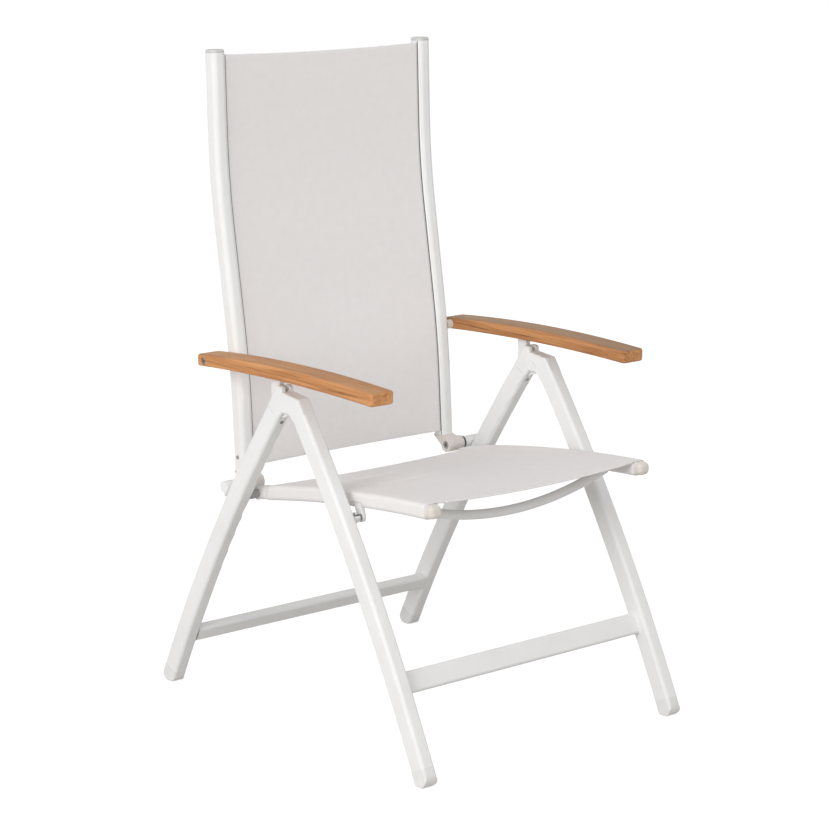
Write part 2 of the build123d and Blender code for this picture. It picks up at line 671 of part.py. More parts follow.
# Seat: bowed rails with an eye at the rear and a domed cap at the front
rail_end = RAIL_LENGTH - SEAT_CAP
rail_plug = 2 * (TUBE_WALL + FIT)
lug_y = REST_Y + LUG_SWEEP
weld = RAIL_D / 2 - RAIL_CORNER / 2
for side, sx in SIDES:
    with BuildPart() as rail:
        with BuildSketch(rail_plane(RAIL_START, sx * RAIL_X)):
            tube_section(RAIL_W, RAIL_D, RAIL_CORNER)
        revolve(axis=rail_axis, revolution_arc=rail_arc(RAIL_START, rail_end))
    save(rail, f"{side}_seat_rail")

    with BuildPart() as seat_cap:
        with BuildSketch(rail_plane(rail_end, sx * RAIL_X)):
            RectangleRounded(RAIL_W, RAIL_D, SEAT_CAP_CORNER)
        extrude(amount=SEAT_CAP)
        fillet(seat_cap.faces().sort_by(Axis.Y)[0].edges(), SEAT_CAP_ROUND)
        with BuildSketch(rail_plane(rail_end, sx * RAIL_X)):
            RectangleRounded(RAIL_W - rail_plug, RAIL_D - rail_plug, RAIL_CORNER - TUBE_WALL)
        extrude(amount=-SEAT_CAP)
    save(seat_cap, f"{side}_seat_cap")

    with BuildPart() as eye:
        with BuildSketch(side_plane(sx * (RAIL_X - RAIL_W / 2))):
            with Locations(seat_hole):
                Circle(RAIL_D / 2)
        extrude(amount=sx * RAIL_W)
        with BuildSketch(rail_plane(0, sx * RAIL_X)):
            RectangleRounded(RAIL_W, RAIL_D, RAIL_CORNER)
        revolve(axis=rail_axis, revolution_arc=rail_arc(0, RAIL_START))
        with BuildSketch(rail_plane(RAIL_START, sx * RAIL_X)):
            RectangleRounded(RAIL_W - rail_plug, RAIL_D - rail_plug, RAIL_CORNER - TUBE_WALL)
        revolve(axis=rail_axis, revolution_arc=rail_arc(0, SPIGOT / 2))
        with BuildSketch(side_plane(sx * (RAIL_X - RAIL_W / 2))):
            with Locations(seat_hole):
                Circle(SEAT_PIN_R + RUN)
        extrude(amount=sx * RAIL_W, mode=Mode.SUBTRACT)
    save(eye, f"{side}_seat_eye")

    # Lug welded under the rail, swept forward to the pin that rests on the front leg
    with BuildPart() as lug:
        with BuildSketch(side_plane(sx * (LUG_X - LUG / 2))):
            with Locations((REST_Y, REST_Z), rail_at(rail_s(lug_y), -weld)):
                Circle(LUG_R)
            make_hull(edges())
            with Locations((REST_Y, REST_Z)):
                Circle(REST_PIN_R + RUN, mode=Mode.SUBTRACT)
        extrude(amount=sx * LUG)
        with BuildSketch(rail_plane(rail_s(lug_y) - 4 * LUG_R, sx * RAIL_X)):
            RectangleRounded(RAIL_W, RAIL_D, RAIL_CORNER)
        revolve(axis=rail_axis, revolution_arc=rail_arc(0, 8 * LUG_R), mode=Mode.SUBTRACT)
    save(lug, f"{side}_seat_lug")

    # Cradle on the front leg, open towards the way the pin leaves it
    with BuildPart() as rest:
        with BuildSketch(
            Plane(
                origin=(sx * (LEG_INNER - REST_LONG), REST_Y, REST_Z),
                x_dir=(0, REST_OPEN[1], -REST_OPEN[0]),
                z_dir=(1, 0, 0),
            )
        ):
            pocket = REST_PIN_R + SIDE_GAP
            Circle(pocket + REST_WALL)
            with Locations((0, REST_PIN_R / 2)):
                Rectangle(2 * (pocket + REST_WALL), REST_PIN_R)
            Circle(pocket, mode=Mode.SUBTRACT)
            with Locations((0, REST_PIN_R)):
                Rectangle(2 * pocket, 2 * REST_PIN_R, mode=Mode.SUBTRACT)
        extrude(amount=sx * REST_LONG)
    save(rest, f"{side}_pin_rest")

with BuildPart() as rest_pins:
    for side, sx in SIDES:
        with BuildSketch(side_plane(sx * (LUG_X - LUG / 2))):
            with Locations((REST_Y, REST_Z)):
                Circle(REST_PIN_R)
        extrude(amount=sx * (LEG_INNER - 2 * SIDE_GAP - LUG_X + LUG / 2))
save(rest_pins, "seat_rest_pins")

with BuildPart() as seat_pins:
    for side, sx in SIDES:
        with BuildSketch(side_plane(sx * (RAIL_X - RAIL_W / 2 - SIDE_GAP))):
            with Locations(seat_hole):
                Circle(SEAT_PIN_R)
        extrude(amount=sx * (LEG_INNER + 3 * TUBE_WALL - RAIL_X + RAIL_W / 2 + SIDE_GAP))
        with BuildSketch(side_plane(sx * (RAIL_X - RAIL_W / 2 - SIDE_GAP))):
            with Locations(seat_hole):
                Circle(SEAT_PIN_R + PIN_HEAD)
        extrude(amount=-sx * SCREW_HEAD)
        with BuildSketch(side_plane(sx * (RAIL_OUTER + SIDE_GAP))):
            with Locations(seat_hole):
                Circle(SPACER_R)
        extrude(amount=sx * (LEG_INNER - RAIL_OUTER - SIDE_GAP))
save(seat_pins, "seat_pivot_pins")

seat_bar_half = RAIL_X - RAIL_W / 2
seat_bar_end = seat_bar_half + BAR_R / 2
seat_bar_bow = SEAT_BAR_END_Z - SEAT_BAR_MID_Z
with BuildPart() as seat_bar:
    end_z = SEAT_BAR_END_Z - bow_at(seat_bar_half, seat_bar_bow, seat_bar_end)
    with BuildLine(Plane.XZ.offset(-SEAT_BAR_Y)) as seat_bar_path:
        ThreePointArc((-seat_bar_end, end_z), (0, SEAT_BAR_MID_Z), (seat_bar_end, end_z))
    with BuildSketch(Plane(origin=seat_bar_path.line @ 0, z_dir=seat_bar_path.line % 0)):
        Circle(BAR_R)
        Circle(BAR_R - TUBE_WALL, mode=Mode.SUBTRACT)
    sweep(path=seat_bar_path.line)
    with Locations((0, SEAT_BAR_Y, SEAT_BAR_MID_Z)):
        Box(2 * seat_bar_half, 4 * BAR_R, 8 * seat_bar_bow, mode=Mode.INTERSECT)
save(seat_bar, "seat_spreader")

# Seat sling: a sheet level with the tops of the rails, with a hem round each rail
hem = SLEEVE_EASE + SLING
with BuildPart() as seat_sling:
    with BuildSketch(rail_plane(SEAT_SLING_START, 0)):
        for side, sx in SIDES:
            with Locations((sx * RAIL_X, 0)):
                RectangleRounded(RAIL_W + 2 * hem, RAIL_D + 2 * hem, RAIL_CORNER + hem)
                inside = RAIL_W + 2 * SLEEVE_EASE, RAIL_D + 2 * SLEEVE_EASE
                RectangleRounded(*inside, RAIL_CORNER + SLEEVE_EASE, mode=Mode.SUBTRACT)
        sheet_x = RAIL_X - RAIL_W / 2 + RAIL_CORNER
        top = RAIL_D / 2 + hem
        low = RAIL_D / 2 + SLEEVE_EASE
        with BuildLine():
            ThreePointArc((-sheet_x, top), (0, top - SEAT_SAG), (sheet_x, top))
            Line((sheet_x, top), (sheet_x, low))
            ThreePointArc((sheet_x, low), (0, low - SEAT_SAG), (-sheet_x, low))
            Line((-sheet_x, low), (-sheet_x, top))
        make_face()
    revolve(axis=rail_axis, revolution_arc=rail_arc(SEAT_SLING_START, rail_end - SEAT_SLING_STOP))
    lug_z = rail_at(rail_s(lug_y), -RAIL_D / 2)[1]
    with Locations((RAIL_OUTER - LUG, lug_y, lug_z), (LUG - RAIL_OUTER, lug_y, lug_z)):
        Box(4 * LUG, 2 * (LUG_R + LUG_WINDOW), RAIL_D - 2 * TUBE_WALL, mode=Mode.SUBTRACT)
    with Locations((seat_bar_half, SEAT_BAR_Y, SEAT_BAR_END_Z), (-seat_bar_half, SEAT_BAR_Y, SEAT_BAR_END_Z)):
        Box(BAR_R, 2 * (BAR_R + BAR_WINDOW), 2 * (BAR_R + BAR_WINDOW), mode=Mode.SUBTRACT)
save(seat_sling, "seat_sling")

# Armrests with a rack of notches in a groove, over the nib of the post


def turned(point, centre, angle):
    """Side-view point turned about a centre, from Y towards Z."""
    y, z = point[0] - centre[0], point[1] - centre[1]
    return (centre[0] + y * cos(angle) - z * sin(angle), centre[1] + y * sin(angle) + z * cos(angle))


nib_stops = []
for i in range(RECLINE_STEPS + 1):
    recline = radians(RECLINE * i / RECLINE_STEPS)
    pivot = turned(arm_at, hinge_at, -recline)
    seen = turned((POST_Y, NIB_Z), pivot, ARM_SHARE * recline)
    nib_stops.append((seen[0] - pivot[0] + ARM_PIVOT_Y, seen[1] - pivot[1] + ARM_PIVOT_Z))
tooth_z = max(z for y, z in nib_stops) + NIB_R + 2 * SIDE_GAP
rack_rear = nib_stops[0][0] + NIB_R + RACK_REAR
rack_front = nib_stops[-1][0] - NIB_R - RACK_FRONT
rack_mid = (rack_rear + rack_front) / 2
rack_length = rack_rear - rack_front
rack_w = TONGUE + 2
rack_screw_y = (rack_rear - RACK_SCREW_IN, rack_front + RACK_SCREW_IN)
groove_low = min(ARM_BOTTOM_Z) - RACK
groove_high = tooth_z + RACK

for side, sx in SIDES:
    with BuildPart() as armrest:
        with BuildSketch(side_plane(sx * ARM_INNER)):
            with BuildLine():
                under = [(y, z) for y, z in zip((ARM_REAR_Y, 0, ARM_FRONT_Y), ARM_BOTTOM_Z)]
                over = [(y, z) for y, z in zip((ARM_REAR_Y, 0, ARM_FRONT_Y), ARM_TOP_Z)]
                ThreePointArc(*under)
                Line(under[2], over[2])
                ThreePointArc(*over)
                Line(over[0], under[0])
            make_face()
        extrude(amount=sx * ARM_W)
        fillet(armrest.edges().filter_by(Axis.Z), ARM_CORNER)
        low_face, *sides, high_face = armrest.faces().sort_by(Axis.Z)
        fillet(low_face.edges() + high_face.edges(), ARM_ROUND)
        with Locations((sx * LEG_X, rack_mid, (groove_low + groove_high) / 2)):
            Box(rack_w + 2 * FIT, rack_length + 2 * FIT, groove_high - groove_low, mode=Mode.SUBTRACT)
        with BuildSketch(side_plane(sx * ARM_INNER)):
            with Locations(arm_at):
                Circle(ARM_BOLT_R + RUN)
        extrude(amount=sx * ARM_W, mode=Mode.SUBTRACT)
        with BuildSketch(side_plane(sx * ARM_OUTER)):
            with Locations(arm_at):
                Circle(ARM_BOLT_HEAD_R + SIDE_GAP)
        extrude(amount=-sx * (ARM_BOLT_HEAD + ARM_BOLT_RECESS + SIDE_GAP), mode=Mode.SUBTRACT)
        with Locations(*[(sx * LEG_X, y, tooth_z + RACK + 2) for y in rack_screw_y]):
            Cylinder(RACK_SCREW_R + RUN, 6, mode=Mode.SUBTRACT)
    save(armrest, f"{side}_armrest")

    with BuildPart() as rack:
        with BuildSketch(side_plane(sx * (LEG_X - rack_w / 2))):
            with Locations((rack_mid, tooth_z + RACK / 2)):
                Rectangle(rack_length, RACK)
            with Locations(*[(y, tooth_z - RACK / 2) for y, z in nib_stops]):
                Circle(RACK_NOTCH_R, mode=Mode.SUBTRACT)
        extrude(amount=sx * rack_w)
        with Locations(*[(sx * LEG_X, y, tooth_z + RACK / 2) for y in rack_screw_y]):
            Cylinder(RACK_SCREW_R + RUN, 2 * RACK, mode=Mode.SUBTRACT)
        with Locations(*[(sx * LEG_X, y, tooth_z + RACK_SCREW_R / 2) for y in rack_screw_y]):
            Cone(2 * RACK_SCREW_R + RUN, RACK_SCREW_R + RUN, RACK_SCREW_R, mode=Mode.SUBTRACT)
    save(rack, f"{side}_arm_rack")

    with BuildPart() as rack_screws:
        with Locations(*[(sx * LEG_X, y, tooth_z + RACK_SCREW_R / 2) for y in rack_screw_y]):
            Cone(2 * RACK_SCREW_R, RACK_SCREW_R, RACK_SCREW_R)
        with Locations(*[(sx * LEG_X, y, tooth_z + RACK_SCREW_R + RACK / 2) for y in rack_screw_y]):
            Cylinder(RACK_SCREW_R, RACK + 2)
    save(rack_screws, f"{side}_rack_screws")

    with BuildPart() as bush:
        with BuildSketch(side_plane(sx * (BACK_OUTER + SIDE_GAP))):
            with Locations(arm_at):
                Circle(BUSH_R)
                Circle(ARM_BOLT_R + RUN, mode=Mode.SUBTRACT)
        extrude(amount=sx * (ARM_INNER - BACK_OUTER - 2 * SIDE_GAP))
    save(bush, f"{side}_arm_bush")

    with BuildPart() as bolt:
        with BuildSketch(side_plane(sx * (ARM_OUTER - ARM_BOLT_RECESS))):
            with Locations(arm_at):
                Circle(ARM_BOLT_HEAD_R)
                RegularPolygon(ARM_BOLT_HEAD_R / 2, 6, mode=Mode.SUBTRACT)
        extrude(amount=-sx * ARM_BOLT_HEAD)
        with BuildSketch(side_plane(sx * (ARM_OUTER - ARM_BOLT_RECESS - ARM_BOLT_HEAD / 2))):
            with Locations(arm_at):
                Circle(ARM_BOLT_R)
        extrude(amount=-sx * (ARM_OUTER - ARM_BOLT_RECESS - ARM_BOLT_HEAD / 2 - BACK_OUTER + 3 * TUBE_WALL))
    save(bolt, f"{side}_arm_bolt")
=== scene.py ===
"""Dresses a folding, reclining garden armchair: sling cloth, teak, powder coat, plastics and steel.

Metres. The chair faces -Y, +Z is up and left is the sitter's left (+X).
"""
import json
from math import asin, atan2, cos, exp, hypot, pi, radians, sin, tan

import bmesh
import bpy
from mathutils import Matrix, Vector


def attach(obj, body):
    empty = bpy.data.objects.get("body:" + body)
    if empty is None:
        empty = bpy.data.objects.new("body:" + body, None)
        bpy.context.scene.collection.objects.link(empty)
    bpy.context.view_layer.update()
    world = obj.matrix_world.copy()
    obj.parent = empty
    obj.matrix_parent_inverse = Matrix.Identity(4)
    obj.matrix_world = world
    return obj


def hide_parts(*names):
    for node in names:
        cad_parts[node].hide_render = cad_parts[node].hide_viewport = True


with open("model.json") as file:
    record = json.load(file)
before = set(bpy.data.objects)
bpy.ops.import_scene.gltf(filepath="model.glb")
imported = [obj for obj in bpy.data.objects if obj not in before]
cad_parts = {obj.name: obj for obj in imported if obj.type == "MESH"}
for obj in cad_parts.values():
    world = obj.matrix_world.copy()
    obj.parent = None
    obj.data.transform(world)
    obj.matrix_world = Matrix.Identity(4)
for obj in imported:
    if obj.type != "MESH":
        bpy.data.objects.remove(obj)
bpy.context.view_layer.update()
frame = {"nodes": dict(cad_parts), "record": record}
MM = 0.001

# Camera of the photograph
VIEW_AZIMUTH = radians(-40.27)
VIEW_ELEVATION = radians(12.93)
VIEW_ROLL = radians(0.40)
VIEW_TARGET = Vector((-2.7 * MM, 3.0 * MM, 476.3 * MM))
VIEW_DISTANCE = 4.426
PHOTO_WIDTH = 828
FOCAL_PIXELS = 2630
OPTICAL_CENTRE = (416.3, 426.6)
SENSOR = 36.0

# Stage
FLOOR_SIZE = 60.0
FLOOR_GLOW = 0.54
FLOOR_BOUNCE = (0.56, 0.535, 0.51)
FLOOR_SEEN = (0.86, 0.86, 0.86)
FLOOR_DROP = 0.5 * MM
SKY_HORIZON = 0.85
SKY_ZENITH = 0.40
LAMP_SIZE = 2.6
KEY_LAMP = {"place": (-4.6, -1.5, 2.3), "target": (0, 0, 0.6), "power": 122}
TOP_LAMP = {"place": (-0.6, -3.4, 4.4), "target": (0, 0, 0.8), "power": 42}
VIEW_REACH = 100

# Sewing
CLOTH = 1.2 * MM
LAYER = 1.05 * CLOTH
FOLD = 0.55 * CLOTH
FOLD_RUN = FOLD * pi
HEM_STEPS = 6
SEAM_INSET = 3 * MM
STITCH_PITCH = 4.2 * MM
STITCH_LONG = 2.9 * MM
THREAD = 0.55 * MM

# Side view of the back tubes, and the sling that runs in their grooves
BACK_FOOT = (192.1 * MM, 398 * MM)
BACK_CORNERS = (575 * MM, 885 * MM)
BACK_LEAN = (radians(4.0), radians(9.75), radians(2.3))
BACK_BENDS = (1500 * MM, 1200 * MM)
GROOVE_FORWARD = 8.5 * MM
BACK_CLOTH_EDGE = 210.6 * MM
BACK_CLOTH_Z = (407 * MM, 1090 * MM)
BACK_CLOTH_SAG = 6 * MM
BACK_TOP_DIP = 4 * MM
BACK_HEM = 26 * MM
BACK_SEAM_END = 6 * MM
BACK_STEPS = (56, 130)
# Painted shadow along each groove's mouth on the sling's front: the strip's sides, thickness and steps
GROOVE_SHADOW_X = (207.7 * MM, 208.9 * MM)
GROOVE_SHADOW_THICK = 0.5 * MM
GROOVE_SHADOW_STEPS = 120

# Bowed seat rails, and the sling that wraps them
SEAT_PIVOT = (134 * MM, 372 * MM)
SEAT_TIP = (-313 * MM, 428.4 * MM)
RAIL_BOW = 2820 * MM
RAIL_X = 226.5 * MM
RAIL_W = 25 * MM
RAIL_D = 22 * MM
RAIL_CORNER = 6 * MM
SEAT_CAP = 14 * MM
SLEEVE_EASE = 0.35 * MM
SEAT_CLOTH_START = 37 * MM
SEAT_CLOTH_STOP = 1.5 * MM
SLEEVE_SLANT = 0.42
SLANT_REACH = 60 * MM
SEAT_SAG = (4 * MM, 8 * MM)
SEAT_HEM = 24 * MM
SEAT_HEM_GAP = 4 * MM
SEAT_SEAM_END = 2 * MM
SEAM_ALLOWANCE = 12 * MM
SEAM_TURN = 2 * MM
SLEEVE_SEAM = 8 * MM
SLEEVE_SEAM_END = 4 * MM
LUG_Y = -132 * MM
LUG_WINDOW = 11 * MM
LUG_EASE = (1 * MM, 4 * MM)
BAR_Y = -231.5 * MM
BAR_WINDOW = 10 * MM
BAR_EASE = 3 * MM
SLEEVE_STEPS = (3, 6, 6, 6, 8, 6, 6)
SEAM_STEPS = 4
TOP_STEPS = (3, 8, 76, 8, 3)
SEAT_STEPS = (60, 6, 18, 6, 14)

# Soft drag lines across the seat near the right rail: depth, height and half width
DRAGS = (
    (10 * MM, -4.6 * MM, 9 * MM),
    (-34 * MM, 1.8 * MM, 14 * MM),
    (-76 * MM, -4.2 * MM, 10 * MM),
)
DRAG_SLOPE = 0.06
DRAG_MIDDLE = 115 * MM
DRAG_REACH = 75 * MM

# Tones of the finishes, as places along a noise and their colours
COAT = (0.85, 0.85, 0.845)
COAT_TONES = ((0.3, (0.83, 0.83, 0.825)), (0.7, (0.87, 0.87, 0.865)))
STEEL = (0.30, 0.29, 0.28)
STEEL_TONES = ((0.3, (0.26, 0.25, 0.24)), (0.7, (0.34, 0.33, 0.32)))
TEAK = (0.5, 0.23, 0.085)
TEAK_TONES = (
    (0.36, (0.18, 0.07, 0.025)),
    (0.43, (0.45, 0.195, 0.07)),
    (0.53, (0.62, 0.29, 0.115)),
    (0.66, (0.72, 0.39, 0.18)),
)
# Painted sheen and shade on the teak's tops: the dull grey-brown that upward faces are mixed toward, and
# the facing range over which that mix rises
PAINTED_TOP_GREY = (0.25, 0.175, 0.11)
PAINTED_TOP_FACING = (0.4, 0.95)
SLING = (0.78, 0.762, 0.755)
SLING_TONES = ((0.3, (0.825, 0.803, 0.798)), (0.7, (0.845, 0.823, 0.818)))
WEAVE_SCALE = 210.0
THREAD_WHITE = (0.84, 0.82, 0.80)
THREAD_TONES = ((0.3, (0.80, 0.78, 0.76)), (0.7, (0.86, 0.84, 0.82)))
FLOW_TONE = 0.94
FLOW_STOPS = (0.35, 0.65)

# Sockets of the Mix node: its factor, its two values or colours, and what comes out
MIX_FACTOR = 0
VALUE_A, VALUE_B, VALUE_OUT = 2, 3, 0
COLOUR_A, COLOUR_B, COLOUR_OUT = 6, 7, 2


# Finishes


def new_finish(name, colour, roughness, **sockets):
    """A material with a Principled shader, its constants on the shader's own sockets."""
    finish = bpy.data.materials.new(name)
    finish.use_nodes = True
    shader = finish.node_tree.nodes["Principled BSDF"]
    shader.inputs["Base Color"].default_value = (*colour, 1)
    shader.inputs["Roughness"].default_value = roughness
    for socket, value in sockets.items():
        shader.inputs[socket.replace("_", " ")].default_value = value
    return finish, finish.node_tree, shader


def add_node(tree, kind, **values):
    """A node with its settings and input values."""
    made = tree.nodes.new(kind)
    for key, value in values.items():
        if key in made.inputs:
            made.inputs[key].default_value = value
        else:
            setattr(made, key, value)
    return made


def object_place(tree, scale=(1, 1, 1)):
    """Object coordinates, scaled along each axis."""
    place = add_node(tree, "ShaderNodeTexCoord")
    mapping = add_node(tree, "ShaderNodeMapping", Scale=scale)
    tree.links.new(place.outputs["Object"], mapping.inputs["Vector"])
    return mapping.outputs["Vector"]


def noise_on(tree, vector, **values):
    """A noise texture's output over a vector."""
    noise = add_node(tree, "ShaderNodeTexNoise", **values)
    tree.links.new(vector, noise.inputs["Vector"])
    return noise.outputs["Fac"]


def add_bump(tree, shader, height, strength, depth):
    """Surface relief from a height output."""
    bump = add_node(tree, "ShaderNodeBump", Strength=strength, Distance=depth)
    tree.links.new(height, bump.inputs["Height"])
    tree.links.new(bump.outputs["Normal"], shader.inputs["Normal"])


def add_tones(tree, shader, value, tones):
    """Colours along a ramp, from (position, colour) pairs, by a value output."""
    ramp = add_node(tree, "ShaderNodeValToRGB")
    stops = ramp.color_ramp.elements
    while len(stops) < len(tones):
        stops.new(0.5)
    for stop, (position, colour) in zip(stops, tones):
        stop.position = position
        stop.color = (*colour, 1)
    tree.links.new(value, ramp.inputs["Fac"])
    tree.links.new(ramp.outputs["Color"], shader.inputs["Base Color"])
    return ramp.outputs["Color"]


def powder_coat():
    """Satin white powder coat with a fine orange peel and a little dust."""
    finish, tree, shader = new_finish("white_powder_coat", COAT, 0.55, Specular_IOR_Level=0.35)
    peel = noise_on(tree, object_place(tree), Scale=900.0, Detail=2.0)
    add_bump(tree, shader, peel, 0.12, 0.2 * MM)
    dust = noise_on(tree, object_place(tree), Scale=14.0, Detail=4.0)
    add_tones(tree, shader, dust, COAT_TONES)
    return finish


def moulded_plastic(name, colour, roughness):
    """Moulded plastic with a faint grain and uneven tone."""
    finish, tree, shader = new_finish(name, colour, roughness)
    grain = noise_on(tree, object_place(tree), Scale=1500.0, Detail=1.0)
    add_bump(tree, shader, grain, 0.1, 0.2 * MM)
    flow = noise_on(tree, object_place(tree), Scale=60.0, Detail=2.0)
    darker = tuple(channel * FLOW_TONE for channel in colour)
    add_tones(tree, shader, flow, tuple(zip(FLOW_STOPS, (darker, colour))))
    return finish


def fastener_steel():
    """Plain stainless steel of bolts, pins and racks."""
    finish, tree, shader = new_finish("fastener_steel", STEEL, 0.38, Metallic=1.0)
    turning = noise_on(tree, object_place(tree, (0.1, 1, 1)), Scale=700.0, Detail=2.0)
    add_bump(tree, shader, turning, 0.08, 0.1 * MM)
    add_tones(tree, shader, turning, STEEL_TONES)
    return finish


def teak_with_painted_top(name, painted_grey_share, shade):
    """Oiled teak, grained along the armrest: broad figure, dark streaks and pores, with its upward faces
    mixed toward a dull grey-brown as painted sheen and shade; shade scales every tone as painted shade.
    """
    finish, tree, shader = new_finish(name, TEAK, 0.6, Specular_IOR_Level=0.3)
    broad, fine, pored = (object_place(tree, (1, pull, 1)) for pull in (0.07, 0.03, 0.02))
    figure = noise_on(tree, broad, Scale=30.0, Detail=3.0, Distortion=0.8)
    streaks = noise_on(tree, fine, Scale=240.0, Detail=4.0, Roughness=0.65)
    pores = noise_on(tree, pored, Scale=900.0, Detail=2.0)
    blend = add_node(tree, "ShaderNodeMix", data_type="FLOAT", Factor=0.5)
    tree.links.new(figure, blend.inputs[VALUE_A])
    tree.links.new(streaks, blend.inputs[VALUE_B])
    tones = [(at, tuple(shade * channel for channel in colour)) for at, colour in TEAK_TONES]
    wood = add_tones(tree, shader, blend.outputs[VALUE_OUT], tones)
    side = add_node(tree, "ShaderNodeTexCoord")
    facing = add_node(tree, "ShaderNodeSeparateXYZ")
    tree.links.new(side.outputs["Normal"], facing.inputs["Vector"])
    painted_top_mask = add_node(tree, "ShaderNodeMapRange", interpolation_type="SMOOTHSTEP")
    painted_top_mask.inputs["From Min"].default_value = PAINTED_TOP_FACING[0]
    painted_top_mask.inputs["From Max"].default_value = PAINTED_TOP_FACING[1]
    painted_top_mask.inputs["To Max"].default_value = painted_grey_share
    tree.links.new(facing.outputs["Z"], painted_top_mask.inputs["Value"])
    painted_top_mix = add_node(tree, "ShaderNodeMix", data_type="RGBA")
    painted_top_mix.inputs[COLOUR_B].default_value = (*PAINTED_TOP_GREY, 1)
    tree.links.new(painted_top_mask.outputs["Result"], painted_top_mix.inputs[MIX_FACTOR])
    tree.links.new(wood, painted_top_mix.inputs[COLOUR_A])
    tree.links.new(painted_top_mix.outputs[COLOUR_OUT], shader.inputs["Base Color"])
    add_bump(tree, shader, pores, 0.3, 0.4 * MM)
    return finish


def sling_cloth():
    """Off-white coated mesh: a plain weave on the cloth's own UV map, in metres."""
    finish, tree, shader = new_finish("sling_cloth", SLING, 0.8, Sheen_Weight=0.06)
    place = add_node(tree, "ShaderNodeUVMap", uv_map="cloth")
    threads = []
    for direction in ("X", "Y"):
        wave = add_node(tree, "ShaderNodeTexWave", Scale=WEAVE_SCALE, bands_direction=direction)
        tree.links.new(place.outputs["UV"], wave.inputs["Vector"])
        threads.append(wave.outputs["Fac"])
    over = add_node(tree, "ShaderNodeMath", operation="MULTIPLY")
    tree.links.new(threads[0], over.inputs[0])
    tree.links.new(threads[1], over.inputs[1])
    add_bump(tree, shader, over.outputs["Value"], 0.35, 0.4 * MM)
    slub = noise_on(tree, place.outputs["UV"], Scale=60.0, Detail=3.0)
    add_tones(tree, shader, slub, SLING_TONES)
    return finish


def sewing_thread():
    """White polyester thread, a little twisted."""
    finish, tree, shader = new_finish("sewing_thread", THREAD_WHITE, 0.6)
    twist = noise_on(tree, object_place(tree), Scale=2500.0, Detail=1.0)
    add_bump(tree, shader, twist, 0.3, 0.2 * MM)
    add_tones(tree, shader, twist, THREAD_TONES)
    return finish


finishes = {
    "white_frame": powder_coat(),
    "white_plastic": moulded_plastic("white_plastic", (0.81, 0.81, 0.80), 0.5),
    "dark_plastic": moulded_plastic("dark_plastic", (0.05, 0.05, 0.052), 0.55),
    "cream_plastic": moulded_plastic("cream_plastic", (0.74, 0.70, 0.64), 0.5),
    "sling_fabric": sling_cloth(),
    "teak": teak_with_painted_top("oiled_teak", 0.25, 1.0),
    "steel": fastener_steel(),
}
thread_finish = sewing_thread()
# Dark grey of the painted shadow strips at the grooves' mouths
groove_shadow_finish = moulded_plastic("painted_groove_shadow", (0.20, 0.19, 0.185), 0.7)

# Pieces whose finish differs from the rest of their slot, by the end of the node's name
OWN_FINISHES = {
    # Left armrest: the same teak with painted shade, every tone times 0.88, and more painted grey on its
    # top
    "left_armrest": teak_with_painted_top("teak_with_painted_shade", 0.65, 0.88),
    "back_cap": moulded_plastic("grey_plug", (0.62, 0.61, 0.60), 0.55),
    "back_bracket": moulded_plastic("cast_bracket", (0.75, 0.695, 0.655), 0.5),
    "seat_pivot_pins": moulded_plastic("grey_spacer", (0.36, 0.35, 0.34), 0.6),
}

# Softened edges on cast pieces: radius by the end of the node's name
EDGE_ROUNDS = {
    "rear_head": 1.6 * MM,
    "back_bracket": 1.8 * MM,
    "seat_lug": 1.2 * MM,
    "pin_rest": 0.8 * MM,
    "hinge_boss": 1.0 * MM,
    "hub_washer": 0.8 * MM,
    "leg_hinge_pins": 0.5 * MM,
}
EDGE_ANGLE = radians(35)
EDGE_STEPS = 3
WELD = 0.01 * MM


def round_edges(part, radius):
    """Joins a CAD mesh's loose triangles and rounds its sharp edges."""
    weld = part.modifiers.new("weld", "WELD")
    weld.merge_threshold = WELD
    bevel = part.modifiers.new("edge round", "BEVEL")
    bevel.width = radius
    bevel.segments = EDGE_STEPS
    bevel.limit_method = "ANGLE"
    bevel.angle_limit = EDGE_ANGLE


for part in frame["record"]["subparts"]:
    cad = frame["nodes"][part["node"]]
    own = [finish for ending, finish in OWN_FINISHES.items() if part["node"].endswith(ending)]
    cad.data.materials.clear()
    cad.data.materials.append(own[0] if own else finishes[part["material_slot"]])
    for ending, radius in EDGE_ROUNDS.items():
        if part["node"].endswith(ending):
            round_edges(cad, radius)


# Side-view lines of the frame


def back_line(z):
    """Depth and slope of the back tubes' centreline at a height, with its two long bends."""
    slope = tan(BACK_LEAN[0])
    y = BACK_FOOT[0] + (z - BACK_FOOT[1]) * slope
    for corner, lower, upper, bend in zip(BACK_CORNERS, BACK_LEAN, BACK_LEAN[1:], BACK_BENDS):
        reach = bend * tan(abs(upper - lower) / 2)
        turn = tan(upper) - tan(lower)
        within = min(max(z - corner + reach, 0), 2 * reach)
        y += turn * within**2 / (4 * reach) + turn * max(z - corner - reach, 0)
        slope += turn * within / (2 * reach)
    return y, slope


seat_reach = SEAT_PIVOT[0] - SEAT_TIP[0], SEAT_TIP[1] - SEAT_PIVOT[1]
rail_half = asin(hypot(*seat_reach) / 2 / RAIL_BOW)
rail_rise = atan2(seat_reach[1], seat_reach[0]) + rail_half


def rail_line(s, up):
    """Depth and height over the seat rails' centreline, at arc length s in front of the pivot."""
    rise = rail_rise - s / RAIL_BOW
    y = SEAT_PIVOT[0] - RAIL_BOW * (sin(rail_rise) - sin(rise)) + up * sin(rise)
    return y, SEAT_PIVOT[1] + RAIL_BOW * (cos(rise) - cos(rail_rise)) + up * cos(rise)


def rail_run(y):
    """Arc length along the rails' centreline at a depth."""
    return (rail_rise - asin(sin(rail_rise) - (SEAT_PIVOT[0] - y) / RAIL_BOW)) * RAIL_BOW


# Sewing


